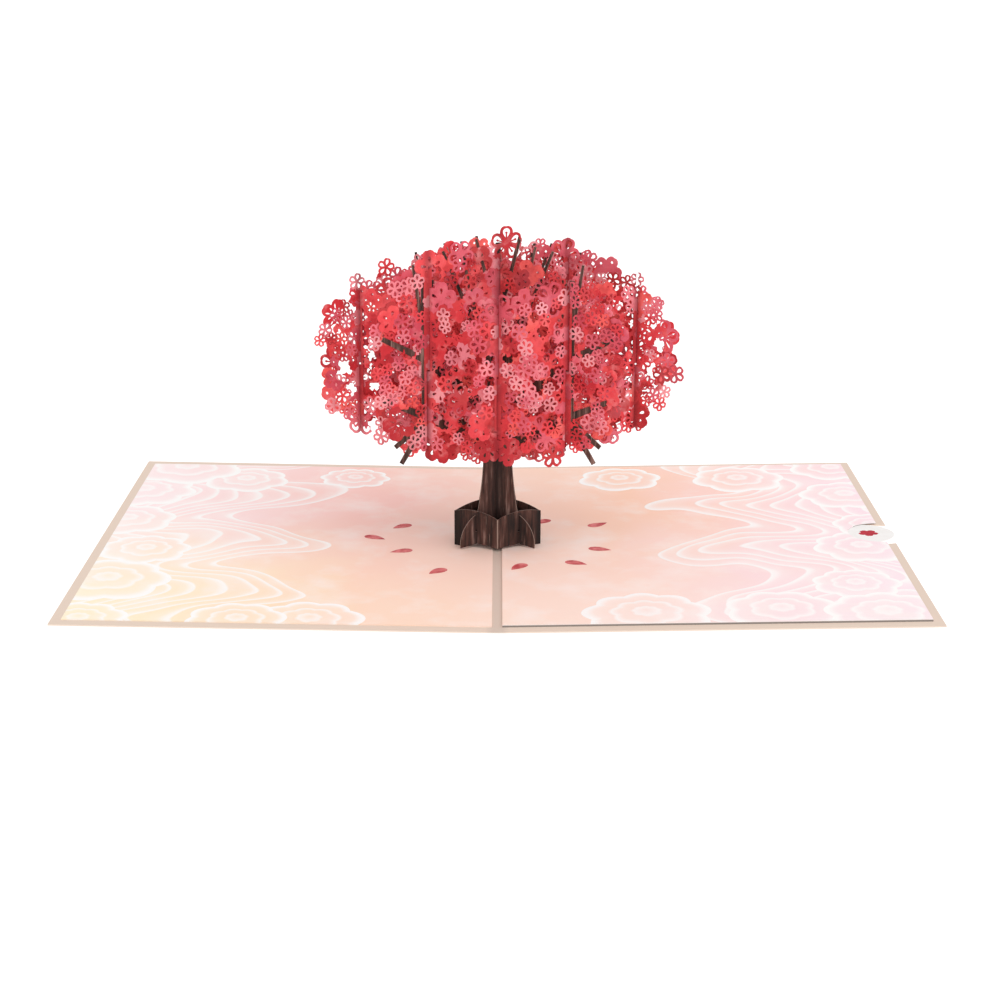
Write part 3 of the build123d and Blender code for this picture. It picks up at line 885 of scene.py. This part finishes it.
# fallen petals printed on the leaves: side, distance from the hinge, depth and turn in degrees
petals = {"length": 7.6, "width": 5.4, "points": 20, "lift": 0.005,
          "places": [(-1, 30, 12, 42), (-1, 38, -1, 150), (-1, 29, -15, 25), (-1, 17, -35, 50),
                     (1, 13, 17, 45), (1, 31.5, 13, 215), (1, 31, -14, 160), (1, 23, -28, 150),
                     (1, 5, -31, 55)]}
bm = bmesh.new()
for side, along, y, turn in petals["places"]:
    height = leaf["board"] + leaf["liner"] + (leaf["pocket"] if side > 0 else 0) + petals["lift"]
    tilt = Matrix.Rotation(-side * leafAngle, 4, "Y") @ Matrix.Rotation(radians(turn), 4, "Z")
    half = petals["length"] / 2
    printShape(bm, drop(0, 0, 0, -half, half, petals["width"] / 2, petals["points"]),
               leafPlace(side, along, y, height) @ tilt)
petalInk = inkPaper("crimson_petal_ink", "#b9383d", "#e27d7c")
finishPrint(bm, "printed_petals", petalInk, "card")

# a small five-petal blossom printed on the tab of the note card
mark = {"along": 118.3, "y": 0.3, "radius": 3.3, "turn": pi / 10, "points": 10, "lift": 0.003}
bm = bmesh.new()
markTilt = Matrix.Rotation(-leafAngle, 4, "Y")
noteTop = leaf["board"] + leaf["noteRise"] + leaf["note"]
printShape(bm, petalled(0, 0, mark["radius"], mark["turn"], mark["points"]),
           leafPlace(1, mark["along"], mark["y"], noteTop + mark["lift"]) @ markTilt)
markInk = inkPaper("crimson_mark_ink", "#b3142c", "#c41f36")
finishPrint(bm, "printed_blossom", markInk, "notecard")
print("prints laid")


def setCamera():
    camera = bpy.data.objects.new("camera", bpy.data.cameras.new("camera"))
    camera.data.lens = cameraSpec["lens"]
    camera.data.sensor_width = cameraSpec["sensor"]
    camera.data.clip_start = cameraSpec["near"]
    turn = Matrix.Rotation(-radians(cameraSpec["yaw"]), 4, "Z")
    tip = Matrix.Rotation(pi / 2 - radians(cameraSpec["pitch"]), 4, "X")
    roll = Matrix.Rotation(radians(cameraSpec["roll"]), 4, "Z")
    camera.matrix_world = Matrix.Translation(Vector(cameraSpec["place"]) * mm) @ turn @ tip @ roll
    scene.collection.objects.link(camera)
    scene.camera = camera


# pale floor and soft light: the floor's half width in metres, its shade and glow, strength of the dome as
# light and as it is seen, and a wide sun from the front
studio = {"floor": 9.0, "pale": 0.35, "glow": 0.85, "dome": 0.74, "backdrop": 1.0, "sun": 1.15,
          "spread": 75.0, "from": (0.45, -0.75, 1.1)}


def setStage():
    bm = bmesh.new()
    bmesh.ops.create_grid(bm, x_segments=1, y_segments=1, size=studio["floor"])
    mesh = bpy.data.meshes.new("floor")
    bm.to_mesh(mesh)
    bm.free()
    floor = bpy.data.objects.new("floor", mesh)
    scene.collection.objects.link(floor)
    material, tree, shader = startMaterial("white_backdrop_paper", 0.9)
    shader.inputs["Base Color"].default_value = grey(studio["pale"])
    shader.inputs["Emission Color"].default_value = grey(1.0)
    shader.inputs["Emission Strength"].default_value = studio["glow"]
    mesh.materials.append(material)
    world = bpy.data.worlds.new("studio")
    scene.world = world
    world.use_nodes = True
    sky = world.node_tree.nodes["Background"]
    sky.inputs["Color"].default_value = grey(1.0)
    # the dome lights softly, and behind the floor's edge it shows as white as the floor
    seen = add(world.node_tree, "LightPath").outputs["Is Camera Ray"]
    strength = add(world.node_tree, "MapRange", {"To Min": studio["dome"], "To Max": studio["backdrop"]},
                   {"Value": seen})
    world.node_tree.links.new(strength.outputs[0], sky.inputs["Strength"])
    lamp = bpy.data.objects.new("key", bpy.data.lights.new("key", "SUN"))
    lamp.data.energy = studio["sun"]
    lamp.data.angle = radians(studio["spread"])
    lamp.matrix_world = (-Vector(studio["from"])).to_track_quat("-Z", "Y").to_matrix().to_4x4()
    scene.collection.objects.link(lamp)
    scene.view_settings.view_transform = "Standard"


setStage()
setCamera()
print("stage and camera set")
